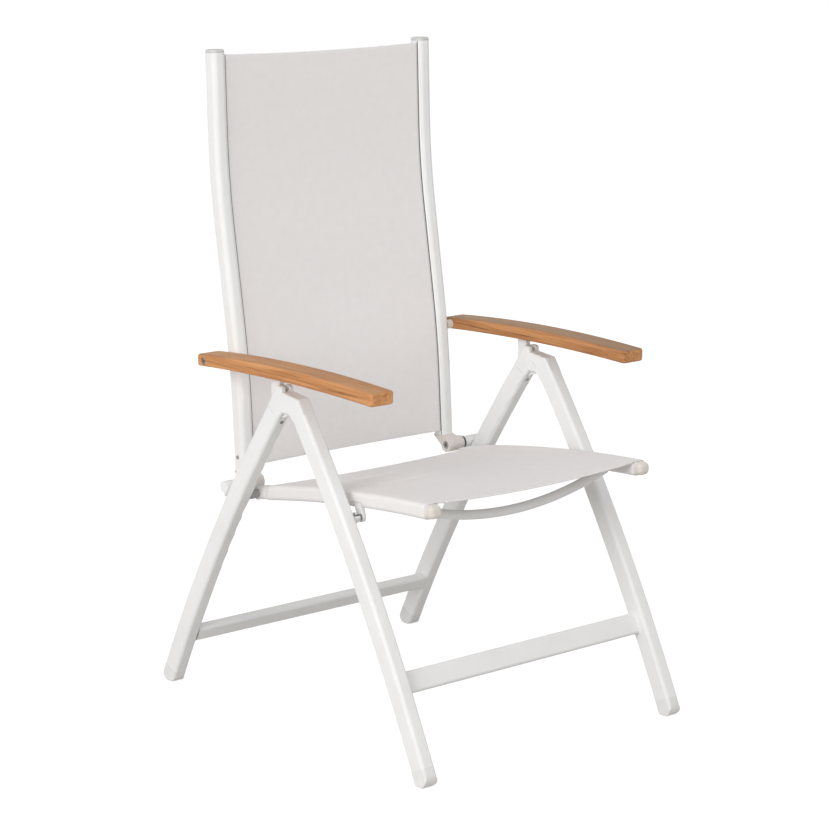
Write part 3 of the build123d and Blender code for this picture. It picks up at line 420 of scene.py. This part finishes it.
def stops(*runs):
    """Places along a cloth's flat side, from (length, count) runs."""
    made = [0.0]
    for length, count in runs:
        start = made[-1]
        made += [start + length * (i + 1) / count for i in range(count)]
    return made


def new_piece(bm, name, body, finish):
    """An object from a finished mesh, riding on a body."""
    mesh = bpy.data.meshes.new(name)
    bm.to_mesh(mesh)
    bm.free()
    mesh.materials.append(finish)
    mesh.shade_smooth()
    piece = bpy.data.objects.new(name, mesh)
    bpy.context.scene.collection.objects.link(piece)
    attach(piece, body)
    return piece


def thicken(piece, thickness):
    """Gives a sheet its thickness, half to each side."""
    wall = piece.modifiers.new("thickness", "SOLIDIFY")
    wall.thickness = thickness
    wall.offset = 0


def sew(name, body, across, along, place, cut=None):
    """A cloth cut flat and laid in place; the piece, its flat size and its flat area.

    across and along are the flat sides' stops, cut says which flat places are cut out, and place
    gives the point in the chair of a flat place.
    """
    bm = bmesh.new()
    columns, rows = len(across) - 1, len(along) - 1
    bmesh.ops.create_grid(bm, x_segments=columns, y_segments=rows, size=0.5)
    for vert in bm.verts:
        vert.co.x = across[round((vert.co.x + 0.5) * columns)]
        vert.co.y = along[round((vert.co.y + 0.5) * rows)]
    if cut:
        waste = [face for face in bm.faces if cut(*face.calc_center_median().xy)]
        bmesh.ops.delete(bm, geom=waste, context="FACES")
    area = sum(face.calc_area() for face in bm.faces)
    uv = bm.loops.layers.uv.new("cloth")
    for face in bm.faces:
        for loop in face.loops:
            loop[uv].uv = loop.vert.co.xy
    for vert in bm.verts:
        vert.co = place(vert.co.x, vert.co.y)
    bmesh.ops.recalc_face_normals(bm, faces=bm.faces)
    piece = new_piece(bm, name, body, finishes["sling_fabric"])
    thicken(piece, CLOTH)
    return piece, (across[-1], along[-1]), area


def stitch_row(name, body, points, lift):
    """A stitch between each two points, raised from the cloth's middle by a lift vector."""
    bm = bmesh.new()
    size = Matrix.Diagonal((STITCH_LONG / 2, THREAD / 2, THREAD / 2, 1))
    for start, end in zip(points, points[1:]):
        turn = (end - start).to_track_quat("X", "Z").to_matrix().to_4x4()
        shape = Matrix.Translation((start + end) / 2 + lift) @ turn @ size
        bmesh.ops.create_uvsphere(bm, u_segments=6, v_segments=4, radius=1, matrix=shape)
    return new_piece(bm, name, body, thread_finish)


def pitches(first, last):
    """Places a stitch apart from a first to a last value."""
    count = int(abs(last - first) / STITCH_PITCH)
    return [first + (last - first) * i / count for i in range(count + 1)]


def hem_turn(run):
    """Height over a fold and step behind the cloth, at a run past the start of the fold."""
    angle = min(run / FOLD, pi)
    return FOLD * sin(angle) - max(run - FOLD_RUN, 0), FOLD * (1 - cos(angle))


# Back sling, hemmed at the top and the bottom


def back_cloth_at(x, z, behind=0.0):
    """Point of the back sling: tight between the grooves, a little slack in the middle."""
    slack = 1 - (x / BACK_CLOTH_EDGE) ** 2
    y, slope = back_line(z)
    y += BACK_CLOTH_SAG * slack + behind - GROOVE_FORWARD * hypot(1, slope)
    return Vector((x, y, z))


def back_top(x):
    """Height of the sling's top edge, which dips between the tubes."""
    return BACK_CLOTH_Z[1] - BACK_TOP_DIP * (1 - (x / BACK_CLOTH_EDGE) ** 2)


back_height = BACK_CLOTH_Z[1] - BACK_CLOTH_Z[0]
back_hem = BACK_HEM + FOLD_RUN
back_hems = [(BACK_HEM, HEM_STEPS), (FOLD_RUN, HEM_STEPS)]
back_across = stops((2 * BACK_CLOTH_EDGE, BACK_STEPS[0]))
back_along = stops(*back_hems, (back_height, BACK_STEPS[1]), *reversed(back_hems))


def lay_back(a, b):
    """From the bottom hem, round its fold, up the front and round the top fold to the top hem."""
    x = a - BACK_CLOTH_EDGE
    low, high = BACK_CLOTH_Z[0], back_top(x)
    if b < back_hem:
        over, behind = hem_turn(back_hem - b)
        return back_cloth_at(x, low - over, behind)
    share = (b - back_hem) / back_height
    if share > 1:
        over, behind = hem_turn(b - back_hem - back_height)
        return back_cloth_at(x, high + over, behind)
    return back_cloth_at(x, low + share * (high - low))


back_cloth, back_flat, back_area = sew("back_cloth", "back", back_across, back_along, lay_back)
seam_x = pitches(BACK_SEAM_END - BACK_CLOTH_EDGE, BACK_CLOTH_EDGE - BACK_SEAM_END)
seam_in = BACK_HEM - SEAM_INSET
forward = Vector((0, -CLOTH / 2, 0))
top_seam = [back_cloth_at(x, back_top(x) - seam_in) for x in seam_x]
low_seam = [back_cloth_at(x, BACK_CLOTH_Z[0] + seam_in) for x in seam_x]
back_seams = [
    stitch_row("back_top_seam", "back", top_seam, forward),
    stitch_row("back_low_seam", "back", low_seam, forward),
]


def groove_shadow_strip(name, side):
    """Painted shadow: a dark strip along the mouth of a tube's groove, on the front of the sling, where
    the tube shades the cloth.
    """
    bm = bmesh.new()
    bmesh.ops.create_grid(bm, x_segments=1, y_segments=GROOVE_SHADOW_STEPS, size=0.5)
    for vert in bm.verts:
        x = side * GROOVE_SHADOW_X[round(vert.co.x + 0.5)]
        share = round((vert.co.y + 0.5) * GROOVE_SHADOW_STEPS) / GROOVE_SHADOW_STEPS
        z = BACK_CLOTH_Z[0] + share * (back_top(x) - BACK_CLOTH_Z[0])
        vert.co = back_cloth_at(x, z, -(CLOTH + GROOVE_SHADOW_THICK) / 2)
    bmesh.ops.recalc_face_normals(bm, faces=bm.faces)
    lip = new_piece(bm, name, "back", groove_shadow_finish)
    thicken(lip, GROOVE_SHADOW_THICK)
    return lip


back_trim = [*back_seams, groove_shadow_strip("left_groove_lip", 1), groove_shadow_strip("right_groove_lip", -1)]
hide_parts("back_sling")


# Seat sling: a sheet between the rails, a sleeve round each rail, sewn on under the sheet, and two hems

sleeve_w = RAIL_W / 2 + SLEEVE_EASE + CLOTH / 2
sleeve_d = RAIL_D / 2 + SLEEVE_EASE + CLOTH / 2
sleeve_r = RAIL_CORNER + SLEEVE_EASE + CLOTH / 2
flat_w = sleeve_w - sleeve_r
flat_d = sleeve_d - sleeve_r
quarter = sleeve_r * pi / 2
inner_rise = 2 * flat_d + sleeve_r - LAYER - SEAM_TURN
SLEEVE_RUNS = (flat_w, quarter, 2 * flat_d, quarter, 2 * flat_w, quarter, inner_rise)
SLEEVE_WAYS = ((1, 0), (0, -1), (-1, 0), (0, 1))
SLEEVE_TURNS = ((flat_w, flat_d, pi / 2), (flat_w, -flat_d, 0), (-flat_w, -flat_d, -pi / 2))
sheet_half = RAIL_X - flat_w
hem_half = sheet_half - sleeve_r - SEAM_ALLOWANCE - SEAT_HEM_GAP
seam_fold = SEAM_TURN * pi / 2
sleeve_length = sum(SLEEVE_RUNS) + seam_fold + SEAM_ALLOWANCE
half_width = RAIL_X + sleeve_length
seat_s = (SEAT_CLOTH_START, 2 * rail_half * RAIL_BOW - SEAT_CAP - SEAT_CLOTH_STOP)
seat_length = seat_s[1] - seat_s[0]
seat_hem = SEAT_HEM + FOLD_RUN
lug_run = sum(SLEEVE_RUNS[:3]) - LUG_EASE[0], sum(SLEEVE_RUNS[:4]) + LUG_EASE[1]
bar_run = sum(SLEEVE_RUNS[:5]), sum(SLEEVE_RUNS) - BAR_EASE
lug_s = rail_run(LUG_Y) - LUG_WINDOW, rail_run(LUG_Y) + LUG_WINDOW
bar_s = rail_run(BAR_Y) - BAR_WINDOW, rail_run(BAR_Y) + BAR_WINDOW


def drag_lines(x, y):
    """Height of the soft folds that run from the right rail towards the middle."""
    along = x + sheet_half - DRAG_MIDDLE
    fade = exp(-((along / DRAG_REACH) ** 2))
    across = y - DRAG_SLOPE * along
    return fade * sum(tall * exp(-(((across - at) / wide) ** 2)) for at, tall, wide in DRAGS)


def sheet_at(x, s, under=0.0):
    """Point of the sheet between the rails, sagging more to the front, or of a layer under it."""
    share = (s - seat_s[0]) / seat_length
    sag = SEAT_SAG[0] + share * (SEAT_SAG[1] - SEAT_SAG[0])
    y, z = rail_line(s, sleeve_d - under - sag * max(1 - (x / sheet_half) ** 2, 0))
    return Vector((x, y, z + drag_lines(x, y)))


def sleeve_at(run):
    """Place round a rail at a run from the middle of its top: out, down, under and up its inner side."""
    x, z = 0.0, sleeve_d
    for i, length in enumerate(SLEEVE_RUNS):
        part = min(max(run, 0), length)
        if i % 2 == 0:
            x, z = x + SLEEVE_WAYS[i // 2][0] * part, z + SLEEVE_WAYS[i // 2][1] * part
        elif part > 0:
            turn_x, turn_z, start = SLEEVE_TURNS[i // 2]
            angle = start - part / sleeve_r
            x, z = turn_x + sleeve_r * cos(angle), turn_z + sleeve_r * sin(angle)
        run -= length
    return x, z


def lay_seat(a, b):
    """Point of the seat sling: sheet, hems, sleeves and the seam allowance under the sheet."""
    across = a - half_width
    side = 1 if across > 0 else -1
    run = abs(across) - RAIL_X
    s = seat_s[0] + b - seat_hem
    under = 0.0
    if s < seat_s[0]:
        over, under = hem_turn(seat_s[0] - s)
        s = seat_s[0] - over
    elif s > seat_s[1]:
        over, under = hem_turn(s - seat_s[1])
        s = seat_s[1] + over
    if run <= 0:
        return sheet_at(across, s, under)
    slant = max(1 - (s - seat_s[0]) / SLANT_REACH, 0)
    s -= SLEEVE_SLANT * slant * min(run, sum(SLEEVE_RUNS[:3]))
    past = run - sum(SLEEVE_RUNS)
    if past <= 0:
        dx, up = sleeve_at(run)
        y, z = rail_line(s, up)
        return Vector((side * (RAIL_X + dx), y, z))
    angle = min(past / SEAM_TURN, pi / 2)
    x = RAIL_X - sleeve_w - SEAM_TURN * (1 - cos(angle)) - max(past - seam_fold, 0)
    return sheet_at(side * x, s, LAYER + SEAM_TURN * (1 - sin(angle)))


def seat_cuts(a, b):
    """Cut-outs of the seat sling: corners beside the hems, windows for the lugs and the bar's ends."""
    across = abs(a - half_width)
    run = across - RAIL_X
    s = seat_s[0] + b - seat_hem
    if not seat_s[0] < s < seat_s[1]:
        return across > hem_half
    lug = lug_run[0] < run < lug_run[1] and lug_s[0] < s < lug_s[1]
    return lug or (bar_run[0] < run < bar_run[1] and bar_s[0] < s < bar_s[1])


sleeve_stops = [*zip(SLEEVE_RUNS, SLEEVE_STEPS), (seam_fold, SEAM_STEPS), (SEAM_ALLOWANCE, SEAM_STEPS)]
beside_hem = sheet_half - hem_half
top_runs = (flat_w, beside_hem, 2 * hem_half, beside_hem, flat_w)
seat_across = stops(*reversed(sleeve_stops), *zip(top_runs, TOP_STEPS), *sleeve_stops)
seat_runs = (
    lug_s[0] - seat_s[0],
    2 * LUG_WINDOW,
    bar_s[0] - lug_s[1],
    2 * BAR_WINDOW,
    seat_s[1] - bar_s[1],
)
seat_hems = [(SEAT_HEM, HEM_STEPS), (FOLD_RUN, HEM_STEPS)]
seat_along = stops(*seat_hems, *zip(seat_runs, SEAT_STEPS), *reversed(seat_hems))
sewn_seat = sew("seat_cloth", "seat", seat_across, seat_along, lay_seat, seat_cuts)
upward = Vector((0, 0, CLOTH / 2))
hem_in = SEAT_HEM - SEAM_INSET
for end, at in (("rear", seat_s[0] + hem_in), ("front", seat_s[1] - hem_in)):
    seam_x = pitches(SEAT_SEAM_END - hem_half, hem_half - SEAT_SEAM_END)
    seam = [sheet_at(x, at) for x in seam_x]
    stitch_row(f"seat_{end}_seam", "seat", seam, upward)
for side, x in (("left", hem_half + SLEEVE_SEAM), ("right", -hem_half - SLEEVE_SEAM)):
    seam_s = pitches(seat_s[0] + SLEEVE_SEAM_END, seat_s[1] - SLEEVE_SEAM_END)
    seam = [sheet_at(x, s) for s in seam_s]
    stitch_row(f"{side}_sleeve_seam", "seat", seam, upward)
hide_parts("seat_sling")


# Stage: floor, light and the photograph's camera


def seen_ray(tree):
    """One for what the camera sees, also mirrored or through glass, and nought for bounced light."""
    path = add_node(tree, "ShaderNodeLightPath")
    seen = path.outputs["Is Camera Ray"]
    for kind in ("Is Glossy Ray", "Is Transmission Ray"):
        either = add_node(tree, "ShaderNodeMath", operation="MAXIMUM")
        tree.links.new(seen, either.inputs[0])
        tree.links.new(path.outputs[kind], either.inputs[1])
        seen = either.outputs["Value"]
    return seen


def lay_floor():
    """Pale floor that keeps the chair's shadow, is white to the camera and bounces a warmer grey."""
    bpy.ops.mesh.primitive_plane_add(size=FLOOR_SIZE, location=(0, 0, -FLOOR_DROP))
    floor = bpy.context.object
    floor.name = "floor"
    finish, tree, shader = new_finish("pale_floor", FLOOR_SEEN, 0.9, Emission_Color=(1, 1, 1, 1))
    shader.inputs["Specular IOR Level"].default_value = 0
    seen = seen_ray(tree)
    tone = add_node(tree, "ShaderNodeMix", data_type="RGBA")
    tone.inputs[COLOUR_A].default_value = (*FLOOR_BOUNCE, 1)
    tone.inputs[COLOUR_B].default_value = (*FLOOR_SEEN, 1)
    tree.links.new(seen, tone.inputs[MIX_FACTOR])
    tree.links.new(tone.outputs[COLOUR_OUT], shader.inputs["Base Color"])
    glow = add_node(tree, "ShaderNodeMath", operation="MULTIPLY")
    glow.inputs[1].default_value = FLOOR_GLOW
    tree.links.new(seen, glow.inputs[0])
    tree.links.new(glow.outputs["Value"], shader.inputs["Emission Strength"])
    floor.data.materials.append(finish)


def light_sky():
    """Even studio sky, white to the camera, lighter at the horizon than overhead for the chair."""
    world = bpy.data.worlds.new("studio")
    world.use_nodes = True
    bpy.context.scene.world = world
    tree = world.node_tree
    sky = tree.nodes["Background"]
    sky.inputs["Color"].default_value = (1, 1, 1, 1)
    way = add_node(tree, "ShaderNodeTexCoord")
    height = add_node(tree, "ShaderNodeSeparateXYZ")
    tree.links.new(way.outputs["Generated"], height.inputs["Vector"])
    dome = add_node(tree, "ShaderNodeMapRange")
    dome.inputs["To Min"].default_value = SKY_HORIZON
    dome.inputs["To Max"].default_value = SKY_ZENITH
    tree.links.new(height.outputs["Z"], dome.inputs["Value"])
    level = add_node(tree, "ShaderNodeMapRange")
    level.inputs["To Max"].default_value = 1.0
    tree.links.new(seen_ray(tree), level.inputs["Value"])
    tree.links.new(dome.outputs["Result"], level.inputs["To Min"])
    tree.links.new(level.outputs["Result"], sky.inputs["Strength"])


def soft_box(name, place, target, power):
    """A square area lamp aimed at a point."""
    lamp = bpy.data.lights.new(name, "AREA")
    lamp.energy = power
    lamp.size = LAMP_SIZE
    made = bpy.data.objects.new(name, lamp)
    made.location = place
    made.rotation_euler = (Vector(target) - Vector(place)).to_track_quat("-Z", "Y").to_euler()
    bpy.context.scene.collection.objects.link(made)


def set_camera():
    """The photograph's camera, from its azimuth, elevation, roll and optical centre."""
    camera = bpy.data.objects.new("camera", bpy.data.cameras.new("camera"))
    flat_view = cos(VIEW_ELEVATION)
    toward = Vector((sin(VIEW_AZIMUTH) * flat_view, -cos(VIEW_AZIMUTH) * flat_view, sin(VIEW_ELEVATION)))
    sideways = Vector((cos(VIEW_AZIMUTH), sin(VIEW_AZIMUTH), 0))
    above = toward.cross(sideways)
    right = cos(VIEW_ROLL) * sideways + sin(VIEW_ROLL) * above
    up = cos(VIEW_ROLL) * above - sin(VIEW_ROLL) * sideways
    turn = Matrix((right, up, toward)).transposed().to_4x4()
    camera.matrix_world = Matrix.Translation(VIEW_TARGET + VIEW_DISTANCE * toward) @ turn
    camera.data.sensor_width = SENSOR
    camera.data.lens = FOCAL_PIXELS / PHOTO_WIDTH * SENSOR
    camera.data.shift_x = (PHOTO_WIDTH / 2 - OPTICAL_CENTRE[0]) / PHOTO_WIDTH
    camera.data.shift_y = (OPTICAL_CENTRE[1] - PHOTO_WIDTH / 2) / PHOTO_WIDTH
    camera.data.clip_end = VIEW_REACH
    bpy.context.scene.collection.objects.link(camera)
    bpy.context.scene.camera = camera


lay_floor()
light_sky()
soft_box("key", **KEY_LAMP)
soft_box("top_front", **TOP_LAMP)
set_camera()
bpy.context.scene.view_settings.view_transform = "Standard"
